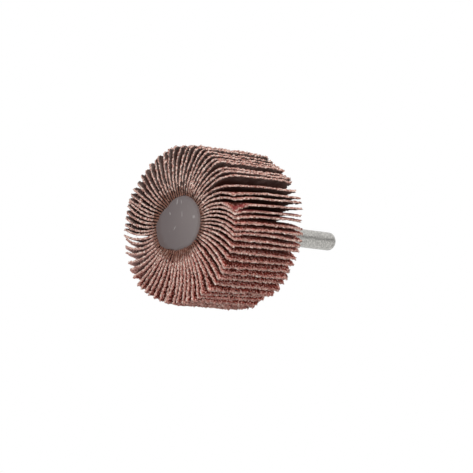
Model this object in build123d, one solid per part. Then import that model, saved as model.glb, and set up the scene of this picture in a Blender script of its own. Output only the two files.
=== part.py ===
"""Abrasive flap wheel on a steel spindle.

Swept flaps of abrasive cloth stand in a fan, with their root edges cast into a resin core.
The wheel stands on its front face at z = 0, and the shank leaves its back along +Z.
Lengths are in millimetres.
"""
import math
import os

from build123d import *

# Wheel
wheel_diameter = 50.0
flap_width = 30.0

# Flaps, which leave the core radially and bend to one side
flap_count = 70
flap_thickness = 0.74
flap_bend_radius = 48.0
root_gap = 0.075
flaps_per_node = 2

# Resin core: fins between the flaps, a dish in front and a collar round the shank
fin_reach = 1.6
front_recess = 0.3
front_dish = 0.25
back_recess = 1.2
collar_height = 0.6
collar_radius = 4.4

# Spindle
shank_diameter = 6.0
shank_length = 40.0
shank_chamfer = 0.8
front_cover = 5.0
knurl_teeth = 24
knurl_tooth_depth = 0.3
knurl_cover = 0.12

# Radii that follow from the sizes above
wheel_radius = wheel_diameter / 2
shank_radius = shank_diameter / 2
root_radius = flap_count * (flap_thickness + root_gap) / (2 * math.pi)
core_radius = root_radius + fin_reach

# Heights that follow from the sizes above
back_face = flap_width - back_recess
knurl_end = back_face + collar_height - knurl_cover
shank_end = flap_width + shank_length


def flap_section():
    """Curved strip of one flap seen along the axis, from its root edge to the rim of the wheel."""
    center = (root_radius, flap_bend_radius)
    sweep = math.degrees(wheel_radius / flap_bend_radius)
    inner = CenterArc(center, flap_bend_radius - flap_thickness / 2, -90, sweep)
    outer = CenterArc(center, flap_bend_radius + flap_thickness / 2, -90, sweep)
    strip = make_face([inner, outer, Line(inner @ 0, outer @ 0), Line(inner @ 1, outer @ 1)])
    return strip & Circle(wheel_radius)


def make_spindle():
    """Steel rod with a chamfered free end and a straight knurl over the length in the core."""
    crest = shank_radius + knurl_tooth_depth / 2
    valley = shank_radius - knurl_tooth_depth / 2
    outline = []
    for tooth in range(knurl_teeth):
        for radius, half_turns in ((crest, 2 * tooth), (valley, 2 * tooth + 1)):
            angle = half_turns * math.pi / knurl_teeth
            outline.append((radius * math.cos(angle), radius * math.sin(angle)))
    knurl = extrude(Polygon(*outline), knurl_end - front_cover)
    shank = extrude(Circle(shank_radius), shank_end - knurl_end)
    shank = chamfer(shank.edges().sort_by(Axis.Z)[-1], shank_chamfer)
    return Pos(0, 0, front_cover) * knurl + Pos(0, 0, knurl_end) * shank


def make_finned_body():
    """Body of the core, with a slot for the root of every flap and a fin of resin between slots."""
    slot = flap_section()
    section = Circle(core_radius) - [turn * slot for turn in PolarLocations(0, flap_count)]
    return Pos(0, 0, front_recess) * extrude(section, back_face - front_recess)


def make_dish():
    """Shallow hollow in the front of the core, inside the flaps, where the resin shrank as it set."""
    sphere_radius = (root_radius**2 + front_dish**2) / (2 * front_dish)
    center = (0, front_recess + front_dish - sphere_radius)
    half_angle = math.degrees(math.asin(root_radius / sphere_radius))
    bottom = CenterArc(center, sphere_radius, 90 - half_angle, half_angle)
    mouth = Polyline(bottom @ 1, (0, front_recess), bottom @ 0)
    return revolve(Plane.XZ * make_face([bottom, mouth]), Axis.Z)


def make_core(spindle):
    """Cast resin core, which fills the space round the flap roots and grips the knurl."""
    collar = Cone(collar_radius, shank_radius, collar_height, align=(Align.CENTER, Align.CENTER, Align.MIN))
    core = make_finned_body() - make_dish() + Pos(0, 0, back_face) * collar
    return core - spindle


def write_node(name, shape):
    """Write one sub-part to its own file."""
    shape.label = name
    export_step(shape, f"parts/{name}.step")


os.makedirs("parts", exist_ok=True)
spindle = make_spindle()
write_node("spindle", spindle)
write_node("resin_core", make_core(spindle))

flap = extrude(flap_section(), flap_width)
flaps = [turn * flap for turn in PolarLocations(0, flap_count)]
for first in range(0, flap_count, flaps_per_node):
    group = flaps[first:first + flaps_per_node]
    write_node(f"flap_pair_{first // flaps_per_node + 1:02d}", Compound(children=group))
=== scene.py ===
"""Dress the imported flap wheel: swept flaps of abrasive cloth, a cast resin core and a steel spindle.

The flaps, the core and the spindle are modelled here in millimetres and scaled to metres at the end.
The wheel stands on its front face on a pale floor, and the camera looks at that face from below.
"""
import math
import random

import bmesh
import bpy
from bpy.props import FloatProperty, FloatVectorProperty, PointerProperty
from mathutils import Matrix, Vector, noise


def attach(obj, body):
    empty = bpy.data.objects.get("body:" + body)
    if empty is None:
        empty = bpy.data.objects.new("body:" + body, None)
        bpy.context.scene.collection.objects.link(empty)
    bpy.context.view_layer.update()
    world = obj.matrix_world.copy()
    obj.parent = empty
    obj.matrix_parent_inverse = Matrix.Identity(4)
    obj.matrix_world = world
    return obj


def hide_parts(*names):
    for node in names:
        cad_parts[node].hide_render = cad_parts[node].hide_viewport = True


bl_info = {
    "name": "Flap Wheel",
    "version": (1, 0, 0),
    "blender": (4, 5, 0),
    "location": "View3D > Sidebar > Flap Wheel",
    "description": "Builds the flaps, resin core and steel spindle of a shank-mounted flap wheel",
    "category": "Object",
}

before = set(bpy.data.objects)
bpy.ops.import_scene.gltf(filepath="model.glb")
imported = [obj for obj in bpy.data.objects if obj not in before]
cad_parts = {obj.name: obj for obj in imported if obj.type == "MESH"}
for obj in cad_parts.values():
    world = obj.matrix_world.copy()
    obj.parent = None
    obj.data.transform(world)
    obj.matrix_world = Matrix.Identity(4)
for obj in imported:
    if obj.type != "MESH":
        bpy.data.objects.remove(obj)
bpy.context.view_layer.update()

MM = 0.001

# Sizes that the pieces here share with the solids, in millimetres
FLAP_COUNT = 70
FLAPS_PER_PIECE = 2
PITCH = 2 * math.pi / FLAP_COUNT
ROOT_RADIUS = 9.08
WHEEL_WIDTH = 30.0
SHANK_RADIUS = 3.0
SHANK_END = 70.0

# Angles in the photograph run anticlockwise from its right. The wheel's own angles run the other way.
PHOTO_ZERO = math.radians(-4.76)


def blend_round(table, angle):
    """Value at an angle, in degrees, between the (angle, value) rows of a table that goes round the wheel."""
    angle %= 360
    rows = [(table[-1][0] - 360, table[-1][1]), *table, (table[0][0] + 360, table[0][1])]
    for (start, low), (end, high) in zip(rows, rows[1:]):
        if start <= angle <= end:
            share = (angle - start) / (end - start)
            return low + (high - low) * share * share * (3 - 2 * share)
    raise ValueError("the table doesn't reach round the wheel")


class Value:
    """An output socket that carries a number, on which Python arithmetic adds Math nodes."""

    def __init__(self, tree, socket):
        self.tree = tree
        self.socket = socket

    def join(self, operation, first, second, clamp=False):
        settings = {"operation": operation, "use_clamp": clamp}
        made = self.tree.add("ShaderNodeMath", settings, {0: first, 1: second})
        return Value(self.tree, made.outputs[0])

    def __add__(self, other):
        return self.join("ADD", self, other)

    def __radd__(self, other):
        return self.join("ADD", other, self)

    def __sub__(self, other):
        return self.join("SUBTRACT", self, other)

    def __rsub__(self, other):
        return self.join("SUBTRACT", other, self)

    def __mul__(self, other):
        return self.join("MULTIPLY", self, other)

    def __rmul__(self, other):
        return self.join("MULTIPLY", other, self)

    def least(self, other):
        return self.join("MINIMUM", self, other)

    def clamped(self):
        return self.join("MULTIPLY", self, 1.0, clamp=True)


class Tree:
    """The node tree of one material, or of the world."""

    def __init__(self, owner):
        owner.use_nodes = True
        self.tree = owner.node_tree
        self.tree.nodes.clear()

    def add(self, kind, settings=None, sockets=None):
        """Add a node, with its settings first and then the values or links of its sockets."""
        made = self.tree.nodes.new(kind)
        for name, value in (settings or {}).items():
            if name == "stops":
                self.set_stops(made.color_ramp, value)
            else:
                setattr(made, name, value)
        for name, value in (sockets or {}).items():
            if isinstance(value, Value):
                value = value.socket
            if isinstance(value, bpy.types.NodeSocket):
                self.tree.links.new(value, made.inputs[name])
            else:
                made.inputs[name].default_value = value
        return made

    def set_stops(self, ramp, stops):
        """Give a colour ramp its (place, colour) stops."""
        while len(ramp.elements) < len(stops):
            ramp.elements.new(0.5)
        for element, (place, colour) in zip(ramp.elements, stops):
            element.position = place
            element.color = (*colour, 1)

    def place(self):
        """Object coordinates of the shaded point."""
        return self.add("ShaderNodeTexCoord").outputs["Object"]

    def noise(self, vector, size, detail=2.0, roughness=0.5):
        """Noise from 0 to 1 whose blotches are about as wide as the size, in millimetres."""
        sockets = {"Vector": vector, "Scale": 1 / (size * MM), "Detail": detail, "Roughness": roughness}
        made = self.add("ShaderNodeTexNoise", {"noise_dimensions": "3D"}, sockets)
        return Value(self, made.outputs["Fac"])

    def ramp(self, factor, stops):
        """Colour from a ramp."""
        return self.add("ShaderNodeValToRGB", {"stops": stops}, {"Fac": factor}).outputs["Color"]

    def level(self, factor, low, high):
        """Share from 0 to 1 of the way from a low to a high value."""
        made = self.add(
            "ShaderNodeMapRange",
            {"interpolation_type": "SMOOTHSTEP"},
            {"Value": factor, "From Min": low, "From Max": high},
        )
        return Value(self, made.outputs["Result"])

    def patch(self, place, middle, start, stop, ragged=0.0):
        """Share of a round patch that fades between two distances from its middle, in millimetres."""
        return 1 - self.level(self.radius(place, middle) + ragged, start, stop)

    def mix(self, factor, first, second):
        """Mix two colours."""
        colours = {6: self.colour(first), 7: self.colour(second)}
        made = self.add("ShaderNodeMix", {"data_type": "RGBA"}, {0: factor, **colours})
        return made.outputs[2]

    def colour(self, value):
        """Colour as a socket takes it: another socket, or four values."""
        return value if isinstance(value, bpy.types.NodeSocket) else (*value, 1)

    def radius(self, place, centre=(0, 0)):
        """Distance from the axis of the wheel, or from a line beside it, in millimetres."""
        beside = (centre[0] * MM, centre[1] * MM, 0)
        moved = self.add("ShaderNodeVectorMath", {"operation": "SUBTRACT"}, {0: place, 1: beside})
        sockets = {0: moved.outputs[0], 1: (1, 1, 0)}
        flat = self.add("ShaderNodeVectorMath", {"operation": "MULTIPLY"}, sockets)
        length = self.add("ShaderNodeVectorMath", {"operation": "LENGTH"}, {0: flat.outputs[0]})
        return Value(self, length.outputs["Value"]) * (1 / MM)

    def surface(self, colour, roughness, relief=None, relief_depth=0.1, **constants):
        """Finish the material with a shader, whose relief is a height map with a depth in millimetres."""
        sockets = {"Base Color": self.colour(colour), "Roughness": roughness}
        sockets.update({name.replace("_", " "): value for name, value in constants.items()})
        if relief is not None:
            bump = self.add("ShaderNodeBump", None, {"Height": relief, "Distance": relief_depth * MM})
            sockets["Normal"] = bump.outputs["Normal"]
        shader = self.add("ShaderNodeBsdfPrincipled", None, sockets)
        self.add("ShaderNodeOutputMaterial", None, {"Surface": shader.outputs[0]})


# Colours that the settings don't hold, as linear red, green and blue
COAT_PIT = (0.016, 0.003, 0.002)
COAT_BRIGHT = (0.55, 0.115, 0.082)
COAT_CRYSTAL = (0.96, 0.58, 0.50)
COAT_DULL = (0.10, 0.026, 0.019)
COAT_SHADED = (0.10, 0.019, 0.012)
COAT_DUST_AND_LIGHT = (0.62, 0.34, 0.29)
COAT_STAINED = (0.06, 0.018, 0.012)
# Painted light: the coat as lit on one side of the wheel, in darker and paler flecks
COAT_LIT_DARK = (0.20, 0.09, 0.075)
COAT_LIT_PALE = (0.75, 0.52, 0.48)
COAT_FOLDED = (0.20, 0.034, 0.036)
BACKING_PALE = (0.20, 0.155, 0.14)
BACKING_THREAD = (0.040, 0.027, 0.021)
BACKING_SHADED = (0.085, 0.024, 0.015)
BACKING_STAINED = (0.035, 0.018, 0.014)
EDGE_CRUMB = (0.13, 0.036, 0.026)
EDGE_RED = (0.46, 0.25, 0.21)
EDGE_PALE = (0.96, 0.82, 0.74)
EDGE_DUSTY = (0.42, 0.21, 0.17)
EDGE_COATED = (0.36, 0.11, 0.08)
EDGE_STAINED = (0.16, 0.065, 0.042)
RESIN_DUST_AND_LIGHT = (0.205, 0.175, 0.172)
RESIN_SPECK = (0.42, 0.38, 0.37)
RESIN_SCUFF = (0.52, 0.49, 0.48)
RESIN_RIM = (0.085, 0.055, 0.05)
STEEL_DARK = (0.31, 0.30, 0.285)
STEEL_PALE = (0.60, 0.585, 0.555)

# Round patches, as the middle and the distances from it where they start and stop fading, in millimetres
ROOT_STAIN = ((-0.8, 0.5), 11.4, 14.4)
# Painted light: a patch of lighter coat on one side of the wheel
COAT_LIT_PATCH = ((-21, 7), 9.0, 15.0)
FOLDED_COAT = ((23.8, -7.0), 0.8, 2.1)
# Painted light: the front of the core lighter towards one side
RESIN_LIT_SIDE = ((11, -3), 2.0, 21.0)

# Specular level of the cloth, low because dust and loose fibre cover it
CLOTH_SPECULAR = 0.06


def root_stain(tree, place):
    """Share of resin that has crept up the flaps, which fades away from the core."""
    return tree.patch(place, *ROOT_STAIN, ragged=2.4 * tree.noise(place, 1.4))


def from_cut_edge(tree, tip_share):
    """Distance from the nearest cut edge of a flap, in millimetres. The tip's is scaled by its share."""
    flat = tree.add("ShaderNodeUVMap", {"uv_map": "flap"}).outputs["UV"]
    parts = tree.add("ShaderNodeSeparateXYZ", None, {0: flat})
    from_tip = (1 - Value(tree, parts.outputs["X"])) * (tip_share * (FLAP_LENGTH - INNER_END))
    across = Value(tree, parts.outputs["Y"])
    return from_tip.least(across).least(WHEEL_WIDTH - across)


def make_grain(settings):
    """Coated side of a flap: brown-red grain in a red size coat, with dark pits and pale crystals."""
    material = bpy.data.materials.new("abrasive_grain")
    tree = Tree(material)
    place = tree.place()
    fine = tree.noise(place, 0.6)
    coarse = tree.noise(place, 5.0)
    stops = [(0.40, COAT_PIT), (0.46, settings.grain_colour[:]), (0.55, COAT_BRIGHT), (0.60, COAT_CRYSTAL)]
    coat = tree.mix(0.25 * coarse, tree.ramp(fine, stops), COAT_DULL)

    inside = from_cut_edge(tree, tip_share=0.9)
    # Painted shade: the coat darkens away from the cut edges, deep between the flaps
    shaded = tree.mix(0.85 * tree.level(inside + 0.8 * fine, 0.7, 3.0), coat, COAT_SHADED)
    # Lighter coat near the cut edges: partly dust and loose fibre, partly painted light where the edges catch
    # it
    dust = 1 - tree.level(inside + 0.5 * fine, 0.35, 0.85)
    dusty = tree.mix(0.55 * dust, shaded, COAT_DUST_AND_LIGHT)
    stained = tree.mix(0.8 * root_stain(tree, place), dusty, COAT_STAINED)

    # Painted light: lighter coat in a patch on one side of the wheel, where light reaches the flaps' lower
    # faces
    lit_coat = tree.mix(fine, COAT_LIT_DARK, COAT_LIT_PALE)
    coat_with_lit_patch = tree.mix(0.75 * tree.patch(place, *COAT_LIT_PATCH, ragged=3 * coarse), stained, lit_coat)
    colour = tree.mix(0.8 * tree.patch(place, *FOLDED_COAT), coat_with_lit_patch, COAT_FOLDED)
    roughness = 0.6 + 0.3 * fine
    tree.surface(colour, roughness, fine, relief_depth=0.22, Specular_IOR_Level=CLOTH_SPECULAR)
    return material


def make_backing(settings):
    """Uncoated side of a flap: dark twill cloth, stiff with resin."""
    material = bpy.data.materials.new("cloth_backing")
    tree = Tree(material)
    place = tree.place()
    flat = tree.add("ShaderNodeUVMap", {"uv_map": "flap"}).outputs["UV"]
    threads = tree.add(
        "ShaderNodeTexWave",
        {"wave_type": "BANDS", "bands_direction": "DIAGONAL"},
        {"Vector": flat, "Scale": 0.55, "Distortion": 0.6, "Detail": 1.0},
    )
    thread = Value(tree, threads.outputs["Fac"])
    clouds = 0.6 * tree.noise(place, 2.6, detail=3) + 0.4 * tree.noise(place, 0.8)
    blotch = tree.level(clouds, 0.38, 0.62)
    cloth = tree.mix(blotch, settings.backing_colour[:], BACKING_PALE)
    woven = tree.mix(0.35 * thread, cloth, BACKING_THREAD)
    # Painted shade: the backing darkens away from the cut edges, deep between the flaps
    shade = tree.level(from_cut_edge(tree, tip_share=0.4), 0.1, 2.2)
    shaded = tree.mix(0.9 * shade, woven, BACKING_SHADED)
    colour = tree.mix(0.7 * root_stain(tree, place), shaded, BACKING_STAINED)
    roughness = 0.75 + 0.12 * blotch
    weave = thread + 0.5 * blotch
    tree.surface(colour, roughness, weave, relief_depth=0.06, Specular_IOR_Level=CLOTH_SPECULAR)
    return material


def make_cut_edge(settings):
    """Cut edge of a flap: pale frayed cotton with crumbs of red grain along it."""
    material = bpy.data.materials.new("cut_edge")
    tree = Tree(material)
    place = tree.place()
    crumbs = tree.noise(place, 0.7, detail=3, roughness=0.7)
    dust = tree.noise(place, 4.0)
    depth = Value(tree, tree.add("ShaderNodeAttribute", {"attribute_name": "depth"}).outputs["Fac"])
    stops = [(0.36, EDGE_CRUMB), (0.44, EDGE_RED), (0.52, settings.edge_colour[:]), (0.62, EDGE_PALE)]
    dusty = tree.mix(0.35 * dust, tree.ramp(crumbs, stops), EDGE_DUSTY)
    coat = 1 - tree.level(depth + 0.5 * crumbs, 0.3, 0.6)
    coated = tree.mix(0.5 * coat, dusty, EDGE_COATED)
    colour = tree.mix(0.85 * root_stain(tree, place), coated, EDGE_STAINED)
    tree.surface(colour, 0.85, crumbs, relief_depth=0.2, Specular_IOR_Level=CLOTH_SPECULAR)
    return material


# Pale marks on the front of the core, as the middle, the half length and the half width in millimetres,
# and the turn in degrees
SCUFFS = [
    ((-4.7, -2.6), 0.6, 0.28, 60), ((-1.7, 1.75), 1.1, 0.2, 118), ((0.8, -2.8), 1.4, 0.16, 80),
    ((6.2, -2.5), 0.8, 0.6, 20), ((-2.1, -6.5), 1.3, 0.3, 95), ((-0.3, -6.8), 0.9, 0.2, 70),
]
# Half length of a scuff into the core, long enough for the scuff to reach an uneven front
SCUFF_DEPTH = 6


def scuff_mask(tree, place):
    """Share of pale scuffing on the front of the core."""
    ragged = 0.9 * tree.noise(place, 0.7)
    mask = 0.0
    for middle, half_length, half_width, turn in SCUFFS:
        turned = tree.add(
            "ShaderNodeMapping",
            {"vector_type": "TEXTURE"},
            {
                "Vector": place,
                "Location": (middle[0] * MM, middle[1] * MM, 0),
                "Rotation": (0, 0, math.radians(turn)),
                "Scale": (half_length * MM, half_width * MM, SCUFF_DEPTH * MM),
            },
        )
        length = tree.add("ShaderNodeVectorMath", {"operation": "LENGTH"}, {0: turned.outputs[0]})
        mask = mask + (1 - tree.level(Value(tree, length.outputs["Value"]) + ragged, 0.75, 1.6))
    return mask.clamped()


def make_resin(settings):
    """Cast resin: grey, half glossy, with scuffs and faint flow marks, and painted light towards one side."""
    material = bpy.data.materials.new("cast_resin")
    tree = Tree(material)
    place = tree.place()
    cloud = tree.noise(place, 7.0, detail=3)
    speck = tree.level(tree.noise(place, 0.9, detail=3, roughness=0.7), 0.64, 0.76)
    scuff = scuff_mask(tree, place)
    rim = tree.level(tree.radius(place) + 1.2 * tree.noise(place, 1.5), 8.4, 10.2)
    # Paler resin from faint dust clouds, and painted light towards one side of the core
    dust = 0.25 * cloud + 0.75 * tree.patch(place, *RESIN_LIT_SIDE)
    dusty = tree.mix(dust, settings.colour[:], RESIN_DUST_AND_LIGHT)
    specked = tree.mix(0.3 * speck, dusty, RESIN_SPECK)
    scuffed = tree.mix(0.45 * scuff, specked, RESIN_SCUFF)
    colour = tree.mix(0.6 * rim, scuffed, RESIN_RIM)
    roughness = 0.42 + 0.15 * cloud + 0.2 * scuff
    tree.surface(colour, roughness, cloud + 0.3 * scuff, relief_depth=0.12)
    return material


def make_steel(settings):
    """Steel of the spindle: satin, finely pitted by tumbling, with fine lines round it."""
    material = bpy.data.materials.new("satin_steel")
    tree = Tree(material)
    place = tree.place()
    pits = tree.noise(place, 0.6, detail=3, roughness=0.65)
    stretched = tree.add("ShaderNodeMapping", None, {"Vector": place, "Scale": (1, 1, 12)})
    rings = tree.noise(stretched.outputs["Vector"], 1.6)
    colour = tree.ramp(pits, [(0.38, STEEL_DARK), (0.5, settings.colour[:]), (0.62, STEEL_PALE)])
    tree.surface(colour, 0.27 + 0.2 * pits, pits + 0.5 * rings, relief_depth=0.035, Metallic=0.85)
    return material


def finish_mesh(name, bm):
    """Turn a bmesh into a mesh and free it."""
    mesh = bpy.data.meshes.new(name)
    bm.to_mesh(mesh)
    bm.free()
    return mesh


def add_object(name, data):
    """Put a mesh, lamp or camera in the scene as an object of the same name."""
    made = bpy.data.objects.new(name, data)
    bpy.context.scene.collection.objects.link(made)
    return made


def keep_piece(name, bm, materials, nodes):
    """Turn a bmesh in millimetres into a piece that rides on the wheel and stands for its CAD nodes."""
    bmesh.ops.transform(bm, matrix=Matrix.Scale(MM, 4), verts=bm.verts)
    mesh = finish_mesh(name, bm)
    for material in materials:
        mesh.materials.append(material)
    for polygon in mesh.polygons:
        polygon.use_smooth = True
    piece = add_object(name, mesh)
    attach(piece, "root")
    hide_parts(*nodes)
    return piece


# How the flaps stand round the wheel. A row is an angle in the photograph, in degrees, and a value.

# Turn of the flap roots away from even spacing, in degrees
CROWDING = [
    (0, 0.2), (30, -2.7), (47, -2.9), (83, -4.8), (112, -1.6), (150, 1.7), (188, 0.7), (202, -1.9),
    (231, -3.3), (246, -6.0), (289, -3.3), (319, -3.8), (333, 0.7),
]
# Lag of the free ends between 14 and 22.5 mm from the axis, in degrees
LAG = [
    (0, 5.0), (10, 6.6), (24, 7.7), (37, 7.5), (42, 4.8), (52, 5.9), (66, 5.2), (110, 4.8), (132, 3.3),
    (158, 1.9), (182, 6.0), (203, 6.6), (213, 7.4), (222, 4.7), (230, 3.9), (236, 1.9), (262, 1.9),
    (277, 3.9), (302, 4.1), (316, 1.5), (335, 4.9), (345, 3.9),
]
# Share of that lag which is left at the back of the wheel
BACK_SHARE = [
    (0, 0.85), (22, 0.62), (45, 0.75), (75, 1.0), (193, 1.0), (200, 0.6), (213, 0.5), (235, 0.9), (300, 1.0),
]
# Turn of the back of the flaps against their front, in degrees
TWIST = [(0, 0.0), (158, 0.0), (174, -1.7), (192, -2.2), (200, 1.2), (208, 3.3), (222, 1.8), (245, 0.0)]
# Radius of the worn front and back corners of the flaps, in millimetres
FRONT_CORNER = [(0, 0.3), (25, 0.5), (50, 2.2), (85, 1.9), (150, 1.2), (200, 0.9), (260, 0.7), (310, 0.4)]
BACK_CORNER = [
    (0, 0.6), (35, 1.0), (55, 2.2), (75, 2.0), (110, 2.5), (180, 1.2), (240, 1.5), (278, 2.0), (302, 2.6),
    (325, 1.6),
]
# Extra length of the flaps, in millimetres
REACH = [
    (0, 0.7), (40, 0.7), (62, 0.3), (95, -0.1), (125, -0.4), (150, -0.3), (190, 0.8), (208, 1.5), (232, 1.4),
    (255, 0.6), (320, 0.9),
]
# How much shorter the flaps are at the back of the wheel, in millimetres
BACK_TAPER = [(0, 0.0), (245, 0.0), (280, 0.5), (305, 1.0), (330, 0.6)]
# Flaps whose front corner is bent over, with how far it is bent, in millimetres
BENT_CORNERS = {16: 1.2, 29: 1.0, 44: 0.9, 64: 1.7, 65: 0.3, 69: 0.8}
# Lumps of fibre and grain on the cut edges, as the flap, the distances from its root and from its front,
# and the size of the lump
LUMPS = [
    (54, 4.2, 0.3, 0.55), (55, 3.6, 0.3, 0.5), (62, 2.9, 0.3, 0.5), (37, 10.8, 0.3, 0.5),
    (38, 11.0, 0.4, 0.5), (46, 12.5, 0.5, 0.5), (10, 15.6, 4.0, 0.6), (66, 15.8, 2.2, 0.55),
    (4, 15.9, 9.0, 0.45), (58, 15.2, 1.2, 0.5),
]

# Seeds of the noise and of the random draws, which make every run give the same wheel
NOISE_SEED = 7
FLAP_SEED = 4100
THREAD_SEED = 900

# Most that chance adds to a flap's turn and lag, in degrees, and to its length, in millimetres
TURN_SPREAD = 0.4
LAG_SPREAD = 0.55
LENGTH_SPREAD = 0.25
# Chance in the radius of a corner and in the waviness, as factors, and in the taper, in millimetres
CORNER_RANGE = (0.75, 1.2)
WAVE_RANGE = (0.5, 1.0)
TAPER_RANGE = (-0.5, 0.4)

# Curvature of a flap, per millimetre, for each degree of lag
LAG_TO_CURVATURE = 1 / 121

# Distances along a flap from the root radius, in millimetres, of its edge in the core, of the end of its
# straight root, and of its tip
INNER_END = -1.75
STRAIGHT_ROOT = 3.5
FLAP_LENGTH = 16.1
# Length past the straight root over which a flap comes loose from its neighbours
LOOSE_LENGTH = 7
# Length that a bent corner takes up, and how steeply it turns up
BENT_LENGTH = 6.5
BENT_POWER = 1.3

# Distances from the front, in millimetres, over which its bend and twist give way to those of the back
BEND_DECAY = 8.0
TWIST_DECAY = 6.0

# Most of the room between two neighbours that a flap takes up near its root, where the flaps are crowded
ROOM_SHARE = 0.62

# How far both ends of a root are drawn into the resin, and the length of flap over which that fades
ROOT_DRAW = 0.5
ROOT_DRAW_LENGTH = 3.0

# Width of the frayed band along the cut edges, in millimetres, and how much more the back edge is frayed
FRAYED_BAND = 0.8
BACK_FRAY = 1.8


class Flap:
    """Shape of one flap, from flat cloth to its bent place in the wheel."""

    def __init__(self, index, settings):
        draw = random.Random(FLAP_SEED + index)
        turn = index * PITCH
        angle = math.degrees(PHOTO_ZERO - turn)
        shift = blend_round(CROWDING, angle) + draw.uniform(-TURN_SPREAD, TURN_SPREAD)
        angle += shift
        self.turn = turn - math.radians(shift)
        self.twist = math.radians(blend_round(TWIST, angle))
        front_lag = blend_round(LAG, angle)
        back_lag = front_lag * blend_round(BACK_SHARE, angle)
        self.front_bend = (front_lag + draw.uniform(-LAG_SPREAD, LAG_SPREAD)) * LAG_TO_CURVATURE
        self.back_bend = (back_lag + draw.uniform(-LAG_SPREAD, LAG_SPREAD)) * LAG_TO_CURVATURE
        self.length = FLAP_LENGTH + blend_round(REACH, angle) + draw.uniform(-LENGTH_SPREAD, LENGTH_SPREAD)
        self.front_corner = blend_round(FRONT_CORNER, angle) * draw.uniform(*CORNER_RANGE)
        self.back_corner = blend_round(BACK_CORNER, angle) * draw.uniform(*CORNER_RANGE)
        self.wave = draw.uniform(*WAVE_RANGE) * settings.waviness / MM
        self.taper = (blend_round(BACK_TAPER, angle) + draw.uniform(*TAPER_RANGE)) / WHEEL_WIDTH
        self.bent = BENT_CORNERS.get(index, 0.0)
        self.fray = settings.fray / MM
        self.thickness = settings.thickness / MM
        self.seed = Vector((7.3 * index, 3.1 * index, 1.7 * index))

    def rounded(self, flat):
        """Flat point moved inwards where the two outer corners of the flap are worn round."""
        in_front = flat.y < WHEEL_WIDTH / 2
        corner = self.front_corner if in_front else self.back_corner
        from_tip = self.length - flat.x
        from_side = min(flat.y, WHEEL_WIDTH - flat.y)
        if from_tip >= corner or from_side >= corner:
            return flat
        u = 1 - from_tip / corner
        v = 1 - from_side / corner
        u, v = u * math.sqrt(1 - v * v / 2), v * math.sqrt(1 - u * u / 2)
        side = corner * (1 - v)
        across = side if in_front else WHEEL_WIDTH - side
        return Vector((self.length - corner * (1 - u), across, flat.z))

    def ragged(self, flat):
        """Flat point moved by the fraying of the nearest cut edge."""
        edge_distance = min(flat.y, WHEEL_WIDTH - flat.y, self.length - flat.x)
        near = max(0.0, 1 - edge_distance / FRAYED_BAND)
        flat = self.rounded(flat)
        if near == 0:
            return flat
        near *= 1.0 if flat.y < WHEEL_WIDTH - 1 else BACK_FRAY
        push = noise.noise_vector(flat * 0.9 + self.seed) * self.fray * near
        push += noise.noise_vector(flat * 2.2 - self.seed) * self.fray * near
        lumpy = 0.4 * noise.noise(flat * 0.8 + self.seed * 1.3) + 0.6 * noise.noise(flat * 1.7 + self.seed)
        return Vector((flat.x + push.x, flat.y + push.y, flat.z * (1 + near * lumpy)))

    def stray(self, run, across):
        """Distance from the smooth bend, in one broad wave with smaller ones on it."""
        broad = noise.noise(Vector((run / 9, across / 11, 0)) + self.seed)
        small = noise.noise(Vector((run / 3.5, across / 4, 5)) + self.seed)
        return (broad + 0.35 * small) * self.wave

    def place(self, flat):
        """Point of the bent flap for a flat point (distance from the root, distance from the front, side)."""
        run, across, side = flat
        across = min(max(across, 0.0), WHEEL_WIDTH)
        run -= self.taper * across * max(0.0, run / self.length)
        bend = self.back_bend + (self.front_bend - self.back_bend) * math.exp(-across / BEND_DECAY)
        free = max(run - STRAIGHT_ROOT, 0.0)
        heading = bend * free
        x = ROOT_RADIUS + math.sin(heading) / bend + min(run, STRAIGHT_ROOT)
        y = (1 - math.cos(heading)) / bend

        room = min(1.0, ROOM_SHARE * x * PITCH / self.thickness)
        loose = min(1.0, free / LOOSE_LENGTH) ** 2
        to_corner = self.length - run + across
        fold = self.bent * max(0.0, 1 - to_corner / BENT_LENGTH) ** BENT_POWER
        offset = side * room + self.stray(run, across) * loose + fold
        x -= math.sin(heading) * offset
        y += math.cos(heading) * offset

        in_resin = max(0.0, 1 - max(run, 0.0) / ROOT_DRAW_LENGTH)
        across += ROOT_DRAW * in_resin * (1 - 2 * across / WHEEL_WIDTH)
        turn = self.turn - self.twist * (1 - math.exp(-across / TWIST_DECAY))
        return Matrix.Rotation(turn, 3, "Z") @ Vector((x, y, across))


# Faces of a flap along and across it, and the cuts that divide those on its rim and the cut edges
FACES_ALONG = 30
FACES_ACROSS = 50
EDGE_CUTS = 2

# Places of the three materials in the list of a flap
COATED, BACKING, CUT_EDGE = range(3)

# Depth of loose fibre in the cloth, from 0 at the coat to 1 at the backing
FIBRE_DEPTH = 0.7


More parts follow.
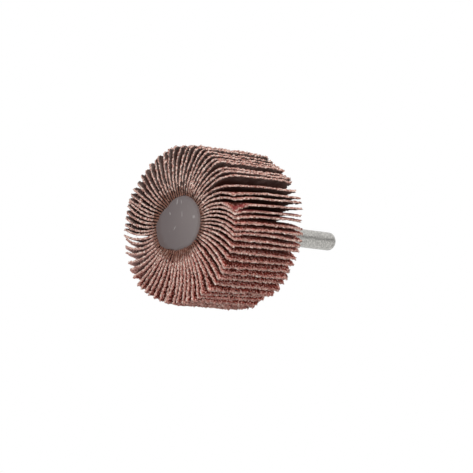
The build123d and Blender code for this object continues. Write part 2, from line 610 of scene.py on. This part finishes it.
def flap_blank(settings):
    """Flat flap of unit length with fine faces: its coated side, its backing and its cut edges."""
    thickness = settings.thickness / MM
    bm = bmesh.new()
    bmesh.ops.create_grid(bm, x_segments=FACES_ALONG, y_segments=FACES_ACROSS, size=0.5)
    rim = [edge for edge in bm.edges if edge.is_boundary]
    bmesh.ops.subdivide_edges(bm, edges=rim, cuts=EDGE_CUTS)
    bmesh.ops.transform(bm, matrix=Matrix.Translation((0.5, 0.5, 0)), verts=bm.verts)
    bmesh.ops.scale(bm, vec=(1, WHEEL_WIDTH, 1), verts=bm.verts)
    bmesh.ops.translate(bm, vec=(0, 0, thickness / 2), verts=bm.verts)
    made = bmesh.ops.extrude_face_region(bm, geom=bm.faces[:])
    bottom = [item for item in made["geom"] if isinstance(item, bmesh.types.BMVert)]
    bmesh.ops.translate(bm, vec=(0, 0, -thickness), verts=bottom)
    walls = [edge for edge in bm.edges if abs(edge.verts[0].co.z - edge.verts[1].co.z) > thickness / 2]
    bmesh.ops.subdivide_edges(bm, edges=walls, cuts=EDGE_CUTS, use_grid_fill=True)
    bmesh.ops.recalc_face_normals(bm, faces=bm.faces)
    depth = bm.verts.layers.float.new("depth")
    for vert in bm.verts:
        vert[depth] = vert.co.z / thickness + 0.5
    flat = bm.loops.layers.uv.new("flap")
    for face in bm.faces:
        if abs(face.normal.z) < 0.5:
            face.material_index = CUT_EDGE
        else:
            face.material_index = BACKING if face.normal.z > 0 else COATED
        for loop in face.loops:
            loop[flat].uv = loop.vert.co.xy
    return bm


def keep_blank(name, bm):
    """Mesh of a small piece of edge fibre, to be copied into the flaps."""
    depth = bm.verts.layers.float.new("depth")
    for vert in bm.verts:
        vert[depth] = FIBRE_DEPTH
    bm.loops.layers.uv.new("flap")
    for face in bm.faces:
        face.material_index = CUT_EDGE
    return finish_mesh(name, bm)


def thread_blank():
    """Straight thin thread of unit length along Z, with its root at the origin."""
    bm = bmesh.new()
    bmesh.ops.create_cone(bm, cap_ends=True, segments=4, radius1=0.075, radius2=0.03, depth=1.0)
    bmesh.ops.translate(bm, vec=(0, 0, 0.5), verts=bm.verts)
    for height in (0.33, 0.67):
        whole = bm.verts[:] + bm.edges[:] + bm.faces[:]
        bmesh.ops.bisect_plane(bm, geom=whole, plane_co=(0, 0, height), plane_no=(0, 0, 1))
    return keep_blank("thread_blank", bm)


def lump_blank():
    """Round lump of unit radius."""
    bm = bmesh.new()
    bmesh.ops.create_icosphere(bm, subdivisions=3, radius=1.0)
    return keep_blank("lump_blank", bm)


def copied_verts(bm, mesh):
    """Copy a mesh into a bmesh and give its vertices."""
    count = len(bm.verts)
    bm.from_mesh(mesh)
    bm.verts.ensure_lookup_table()
    return bm.verts[count:]


# Loose threads on the tip and on the front edge of a flap, and how far they curl for their length
THREADS_PER_EDGE = 3
THREAD_CURL = 0.35

# Stretch of a lump along, across and out of the flap, and how far its middle is out of the flap's middle
LUMP_STRETCH = Matrix.Diagonal((1.3, 0.8, 1.2))
LUMP_SIDE = 0.3


def add_thread(bm, flap, blank, start, heading, length):
    """Loose thread on a cut edge, from a flat point of the flap."""
    aim = heading.to_track_quat("Z", "X").to_matrix()
    for vert in copied_verts(bm, blank):
        along = vert.co.z * length
        curl = noise.noise_vector(start + Vector((along * 0.9, 0, 3.1))) * THREAD_CURL * along
        vert.co = flap.place(start + curl + aim @ Vector((vert.co.x, vert.co.y, along)))


def add_lump(bm, flap, blank, start, size):
    """Lump of matted fibre and grain that bridges a flap and its neighbour."""
    for vert in copied_verts(bm, blank):
        bumps = 1 + 0.45 * noise.noise(vert.co * 1.3 + start) + 0.3 * noise.noise(vert.co * 3 + start)
        vert.co = flap.place(start + LUMP_STRETCH @ vert.co * bumps * size)


def bend_flap(blank, thread, lump, flap, index):
    """Copy of the blank, cut to length, frayed and bent into place, with its loose threads and lumps."""
    bm = blank.copy()
    whole = flap.length - INNER_END
    for vert in bm.verts:
        flat = Vector((INNER_END + vert.co.x * whole, vert.co.y, vert.co.z))
        vert.co = flap.place(flap.ragged(flat))
    draw = random.Random(THREAD_SEED + index)
    for _ in range(THREADS_PER_EDGE):
        start = Vector((flap.length - 0.2, draw.uniform(1.0, WHEEL_WIDTH - 1), 0))
        heading = Vector((draw.uniform(0.1, 0.5), draw.uniform(-1, 1), draw.uniform(-0.6, 0.6)))
        add_thread(bm, flap, thread, start, heading, draw.uniform(0.5, 0.9))
    for _ in range(THREADS_PER_EDGE):
        start = Vector((draw.uniform(STRAIGHT_ROOT, flap.length - 1), 0.15, 0))
        heading = Vector((draw.uniform(-0.8, 0.8), draw.uniform(0.0, 0.3), draw.choice((-1, 1))))
        add_thread(bm, flap, thread, start, heading, draw.uniform(0.7, 1.2))
    for number, run, across, size in LUMPS:
        if number == index:
            add_lump(bm, flap, lump, Vector((run, across, LUMP_SIDE)), size)
    return bm


class FlapSettings(bpy.types.PropertyGroup):
    thickness: FloatProperty(
        name="Thickness",
        description="Thickness of the coated cloth",
        default=0.00062,
        unit="LENGTH",
    )
    waviness: FloatProperty(
        name="Waviness",
        description="How far a flap strays from its smooth bend",
        default=0.00035,
        unit="LENGTH",
    )
    fray: FloatProperty(
        name="Fray",
        description="How far the cut edges are frayed",
        default=0.00047,
        unit="LENGTH",
    )
    grain_colour: FloatVectorProperty(
        name="Grain",
        description="Colour of the coated side",
        default=(0.25, 0.042, 0.030),
        subtype="COLOR",
        size=3,
    )
    backing_colour: FloatVectorProperty(
        name="Backing",
        description="Colour of the cloth's uncoated side",
        default=(0.085, 0.056, 0.049),
        subtype="COLOR",
        size=3,
    )
    edge_colour: FloatVectorProperty(
        name="Cut edge",
        description="Colour of the cut cotton",
        default=(0.76, 0.52, 0.44),
        subtype="COLOR",
        size=3,
    )


class CoreSettings(bpy.types.PropertyGroup):
    colour: FloatVectorProperty(
        name="Resin",
        description="Colour of the cast resin",
        default=(0.106, 0.083, 0.084),
        subtype="COLOR",
        size=3,
    )


class SpindleSettings(bpy.types.PropertyGroup):
    colour: FloatVectorProperty(
        name="Steel",
        description="Colour of the steel",
        default=(0.45, 0.44, 0.415),
        subtype="COLOR",
        size=3,
    )


class StageSettings(bpy.types.PropertyGroup):
    floor_colour: FloatVectorProperty(
        name="Floor",
        description="Colour of the floor",
        default=(0.80, 0.80, 0.80),
        subtype="COLOR",
        size=3,
    )
    ambient: FloatProperty(
        name="Ambient light",
        description="Strength of the light from all round",
        default=0.2,
        subtype="FACTOR",
    )


class FLAPWHEEL_OT_flaps(bpy.types.Operator):
    """Bend the flaps of abrasive cloth and set them in the wheel"""

    bl_idname = "flapwheel.flaps"
    bl_label = "Flaps"

    def execute(self, context):
        noise.seed_set(NOISE_SEED)
        settings = context.scene.flap_settings
        materials = [make_grain(settings), make_backing(settings), make_cut_edge(settings)]
        blank = flap_blank(settings)
        thread = thread_blank()
        lump = lump_blank()
        for first in range(0, FLAP_COUNT, FLAPS_PER_PIECE):
            number = first // FLAPS_PER_PIECE + 1
            pair = bmesh.new()
            for index in range(first, first + FLAPS_PER_PIECE):
                bent = bend_flap(blank, thread, lump, Flap(index, settings), index)
                bent_mesh = finish_mesh("bent_flap", bent)
                pair.from_mesh(bent_mesh)
                bpy.data.meshes.remove(bent_mesh)
            bmesh.ops.recalc_face_normals(pair, faces=pair.faces)
            node = f"flap_pair_{number:02d}"
            keep_piece(f"cloth_flaps_{number:02d}", pair, materials, [node])
        blank.free()
        bpy.data.meshes.remove(thread)
        bpy.data.meshes.remove(lump)
        return {"FINISHED"}


# Reach of the puddles of resin from the axis, by angle in the photograph, in millimetres
PUDDLE = [
    (0, 9.3), (24, 9.6), (52, 9.3), (69, 9.0), (100, 8.2), (137, 7.6), (170, 9.9), (187, 11.2), (219, 11.4),
    (258, 8.7), (287, 7.8), (329, 9.0),
]
# Depths of the front and back puddles, and the radius from which their outline is uneven, in millimetres
FRONT_PUDDLE_DEPTH = 1.6
BACK_PUDDLE_DEPTH = 2.0
PUDDLE_START = 4.0
# Radius and height within which the front of the core is uneven, in millimetres
UNEVEN_RADIUS = 8.5
UNEVEN_HEIGHT = 1.0

# Outline of the core, as (radius, height) points from the middle of its front to the middle of its back
CORE_PROFILE = [
    (0, 0.12), (1.2, 0.12), (2.4, 0.13), (3.6, 0.14), (4.8, 0.16), (6.0, 0.19), (7.0, 0.215), (7.7, 0.22),
    (8.1, 0.19), (8.4, 0.15), (8.62, 0.15), (8.8, 0.22), (8.95, 0.38), (9.05, 0.62), (9.1, 1.0), (9.08, 2.0),
    (9.08, 14.0), (9.08, 27.5), (9.1, 28.6), (9.25, 29.2), (9.1, 29.4), (8.7, 29.45), (8.0, 29.3),
    (7.0, 29.0), (6.0, 28.85), (5.0, 28.9), (4.2, 29.0), (3.6, 29.15), (3.15, 29.35), (2.95, 29.45),
    (2.0, 29.45), (0, 29.45),
]
CORE_STEPS = 180

# Heights of the rings of faces along the spindle, and the (radius, height) outline of its rounded end
SPINDLE_RINGS = [5.0, 28.0, 29.6, 34, 39, 44, 49, 54, 59, 64]
SPINDLE_END = [
    (SHANK_RADIUS, 68.6), (2.93, 69.0), (2.76, 69.4), (2.5, 69.72), (2.2, 69.92), (1.9, SHANK_END),
    (0, SHANK_END),
]
SPINDLE_STEPS = 96


def spin_profile(profile, steps):
    """Solid of revolution from (radius, height) points whose first and last lie on the axis."""
    bm = bmesh.new()
    verts = [bm.verts.new((radius, 0, height)) for radius, height in profile]
    edges = [bm.edges.new(pair) for pair in zip(verts, verts[1:])]
    bmesh.ops.spin(
        bm, geom=verts + edges, cent=(0, 0, 0), axis=(0, 0, 1), angle=2 * math.pi, steps=steps, use_merge=True
    )
    bmesh.ops.remove_doubles(bm, verts=bm.verts, dist=0.0005)
    bmesh.ops.recalc_face_normals(bm, faces=bm.faces)
    return bm


def puddled(point):
    """Point of the smooth core moved to where the resin ran before it set."""
    reach = math.hypot(point.x, point.y)
    near_front = max(0.0, 1 - point.z / FRONT_PUDDLE_DEPTH)
    near_back = max(0.0, 1 - (WHEEL_WIDTH - point.z) / BACK_PUDDLE_DEPTH)
    outside = min(1.0, max(0.0, reach - PUDDLE_START) / PUDDLE_START)
    angle = math.degrees(PHOTO_ZERO - math.atan2(point.y, point.x))
    stretch = blend_round(PUDDLE, angle) / ROOT_RADIUS - 1
    ripple = 0.02 * noise.noise(Vector((point.x, point.y, 0)) * 0.9)
    factor = 1 + (stretch + ripple) * (near_front + near_back) * outside
    moved = Vector((point.x * factor, point.y * factor, point.z))
    if reach < UNEVEN_RADIUS and moved.z < UNEVEN_HEIGHT:
        moved.z += 0.05 * noise.noise(moved * 0.45) + 0.02 * noise.noise(moved * 1.4)
    return moved


class FLAPWHEEL_OT_core(bpy.types.Operator):
    """Cast the resin core with its front and back puddles"""

    bl_idname = "flapwheel.core"
    bl_label = "Resin core"

    def execute(self, context):
        bm = spin_profile(CORE_PROFILE, CORE_STEPS)
        for vert in bm.verts:
            vert.co = puddled(vert.co)
        keep_piece("cast_core", bm, [make_resin(context.scene.core_settings)], ["resin_core"])
        return {"FINISHED"}


class FLAPWHEEL_OT_spindle(bpy.types.Operator):
    """Turn the steel spindle with its rounded free end"""

    bl_idname = "flapwheel.spindle"
    bl_label = "Spindle"

    def execute(self, context):
        profile = [(0, SPINDLE_RINGS[0])] + [(SHANK_RADIUS, height) for height in SPINDLE_RINGS] + SPINDLE_END
        bm = spin_profile(profile, SPINDLE_STEPS)
        keep_piece("steel_spindle", bm, [make_steel(context.scene.spindle_settings)], ["spindle"])
        return {"FINISHED"}


# Camera of the photograph, in pixels of its 473 x 473 frame, in degrees and in metres from the front face
FRAME_SIZE = 473
AXIS_PIXEL = (178.8, 222.9)
VIEW_TURN = math.radians(46.4)
VIEW_ROLL = math.radians(7.1)
VIEW_FOCAL = 3232.0
VIEW_DISTANCE = 1.022
SENSOR = 36.0
CLIP_START = 0.01
CLIP_END = 20

# Lamps, as their name, place and side in metres, and power in watts
LAMPS = [
    ("lamp_front_left", (0.35, -0.70, -0.60), 0.5, 6.6),
    ("lamp_front_right", (0.9, -0.05, -0.3), 0.5, 4.0),
    ("lamp_below", (-0.2, 0.8, -0.4), 0.7, 3.2),
    ("lamp_left", (-1.0, 0.19, 0.08), 0.5, 10.0),
    ("lamp_above", (-0.1, -0.6, 0.9), 0.7, 6.8),
]
LAMP_TARGET = Vector((0, 0, 0.02))

# Dark card, with the point of the shank that it faces
CARD_PLACE = Vector((0.33, -0.14, 0.36))
CARD_SCALE = (0.14, 0.6, 1)
CARD_TARGET = Vector((0, 0, 0.05))
CARD_COLOUR = (0.05, 0.05, 0.05)

# Half the side of the floor and how far it lies under the wheel, in metres, and the colour of its speckle
FLOOR_REACH = 3.0
FLOOR_DROP = 0.0002
FLOOR_SPECKLE = (0.83, 0.83, 0.82)


def aim_camera():
    """Set the camera where the photograph was taken, with the wheel's axis at its pixel and no lens shift."""
    place = Vector((math.sin(VIEW_TURN), 0, -math.cos(VIEW_TURN))) * VIEW_DISTANCE
    forward = -place.normalized()
    axis = Vector((0, 0, 1))
    level = (axis - forward * axis.dot(forward)).normalized()
    upright = level.cross(forward)
    right = math.cos(VIEW_ROLL) * level + math.sin(VIEW_ROLL) * upright
    up = -math.sin(VIEW_ROLL) * level + math.cos(VIEW_ROLL) * upright
    aside = (FRAME_SIZE / 2 - AXIS_PIXEL[0]) / VIEW_FOCAL
    below = (FRAME_SIZE / 2 - AXIS_PIXEL[1]) / VIEW_FOCAL
    forward = (forward + aside * right - below * up).normalized()
    right = (right - forward * right.dot(forward)).normalized()
    up = right.cross(forward)
    data = bpy.data.cameras.new("camera")
    data.sensor_width = SENSOR
    data.lens = VIEW_FOCAL * SENSOR / FRAME_SIZE
    data.clip_start = CLIP_START
    data.clip_end = CLIP_END
    camera = add_object("camera", data)
    turn = Matrix((right, up, -forward)).transposed().to_4x4()
    camera.matrix_world = Matrix.Translation(place) @ turn
    bpy.context.scene.camera = camera


def add_lamp(name, place, size, watts):
    """Soft square lamp that points at the middle of the wheel and isn't seen in reflections."""
    data = bpy.data.lights.new(name, "AREA")
    data.shape = "SQUARE"
    data.size = size
    data.energy = watts
    lamp = add_object(name, data)
    lamp.location = place
    lamp.visible_glossy = False
    lamp.rotation_mode = "QUATERNION"
    lamp.rotation_quaternion = (LAMP_TARGET - Vector(place)).to_track_quat("-Z", "Y")


def add_card():
    """Dark card beside the wheel that only shiny surfaces see. It draws the dark line along the shank."""
    bm = bmesh.new()
    bmesh.ops.create_grid(bm, x_segments=1, y_segments=1, size=0.5)
    bmesh.ops.scale(bm, vec=CARD_SCALE, verts=bm.verts)
    facing = (CARD_TARGET - CARD_PLACE).to_track_quat("Z", "Y").to_matrix().to_4x4()
    bmesh.ops.transform(bm, matrix=Matrix.Translation(CARD_PLACE) @ facing, verts=bm.verts)
    mesh = finish_mesh("dark_card", bm)
    material = bpy.data.materials.new("dark_card")
    Tree(material).surface(CARD_COLOUR, 0.9)
    mesh.materials.append(material)
    card = add_object("dark_card", mesh)
    card.visible_camera = False
    card.visible_diffuse = False
    card.visible_shadow = False


def make_floor_paint(settings):
    """Pale matt paint that can't be seen from beneath."""
    material = bpy.data.materials.new("pale_floor")
    tree = Tree(material)
    speckle = tree.noise(tree.place(), 2.0)
    colour = tree.mix(speckle, settings.floor_colour[:], FLOOR_SPECKLE)
    paint = tree.add("ShaderNodeBsdfPrincipled", None, {"Base Color": colour, "Roughness": 0.8})
    clear = tree.add("ShaderNodeBsdfTransparent")
    beneath = tree.add("ShaderNodeNewGeometry").outputs["Backfacing"]
    both = tree.add("ShaderNodeMixShader", None, {0: beneath, 1: paint.outputs[0], 2: clear.outputs[0]})
    tree.add("ShaderNodeOutputMaterial", None, {"Surface": both.outputs[0]})
    return material


def add_floor(settings):
    """Floor under the front face, which takes no part in the light on the wheel."""
    bm = bmesh.new()
    bmesh.ops.create_grid(bm, x_segments=8, y_segments=8, size=FLOOR_REACH)
    bmesh.ops.translate(bm, vec=(0, 0, -FLOOR_DROP), verts=bm.verts)
    mesh = finish_mesh("floor", bm)
    mesh.materials.append(make_floor_paint(settings))
    floor = add_object("floor", mesh)
    floor.visible_shadow = False
    floor.visible_diffuse = False
    floor.visible_glossy = False


def set_world(settings):
    """White studio that the camera and reflections see in full, and that lights the wheel faintly."""
    world = bpy.data.worlds.new("studio")
    bpy.context.scene.world = world
    tree = Tree(world)
    path = tree.add("ShaderNodeLightPath")
    seen = Value(tree, path.outputs["Is Camera Ray"]) + Value(tree, path.outputs["Is Transmission Ray"])
    seen = seen + Value(tree, path.outputs["Is Glossy Ray"])
    strength = settings.ambient + (1 - settings.ambient) * seen.clamped()
    sky = tree.add("ShaderNodeBackground", None, {"Color": (1, 1, 1, 1), "Strength": strength})
    tree.add("ShaderNodeOutputWorld", None, {"Surface": sky.outputs[0]})


class FLAPWHEEL_OT_stage(bpy.types.Operator):
    """Lay the floor, hang the lamps and set the camera"""

    bl_idname = "flapwheel.stage"
    bl_label = "Stage"

    def execute(self, context):
        settings = context.scene.stage_settings
        add_floor(settings)
        set_world(settings)
        add_card()
        for lamp in LAMPS:
            add_lamp(*lamp)
        aim_camera()
        context.scene.view_settings.view_transform = "Standard"
        return {"FINISHED"}


class FLAPWHEEL_PT_sidebar(bpy.types.Panel):
    """Pieces of the flap wheel"""

    bl_label = "Flap Wheel"
    bl_idname = "FLAPWHEEL_PT_sidebar"
    bl_space_type = "VIEW_3D"
    bl_region_type = "UI"
    bl_category = "Flap Wheel"

    def draw(self, context):
        for operator in OPERATORS:
            self.layout.operator(operator.bl_idname)
        for group in SETTINGS:
            for name in getattr(context.scene, group).__annotations__:
                self.layout.prop(getattr(context.scene, group), name)


OPERATORS = (FLAPWHEEL_OT_flaps, FLAPWHEEL_OT_core, FLAPWHEEL_OT_spindle, FLAPWHEEL_OT_stage)
SETTINGS = {
    "flap_settings": FlapSettings,
    "core_settings": CoreSettings,
    "spindle_settings": SpindleSettings,
    "stage_settings": StageSettings,
}


def register():
    for kind in (*SETTINGS.values(), *OPERATORS, FLAPWHEEL_PT_sidebar):
        bpy.utils.register_class(kind)
    for name, kind in SETTINGS.items():
        setattr(bpy.types.Scene, name, PointerProperty(type=kind))


def unregister():
    for name in SETTINGS:
        delattr(bpy.types.Scene, name)
    for kind in reversed((*SETTINGS.values(), *OPERATORS, FLAPWHEEL_PT_sidebar)):
        bpy.utils.unregister_class(kind)


def main():
    register()
    bpy.ops.flapwheel.flaps()
    bpy.ops.flapwheel.core()
    bpy.ops.flapwheel.spindle()
    bpy.ops.flapwheel.stage()


if __name__ == "__main__":
    main()
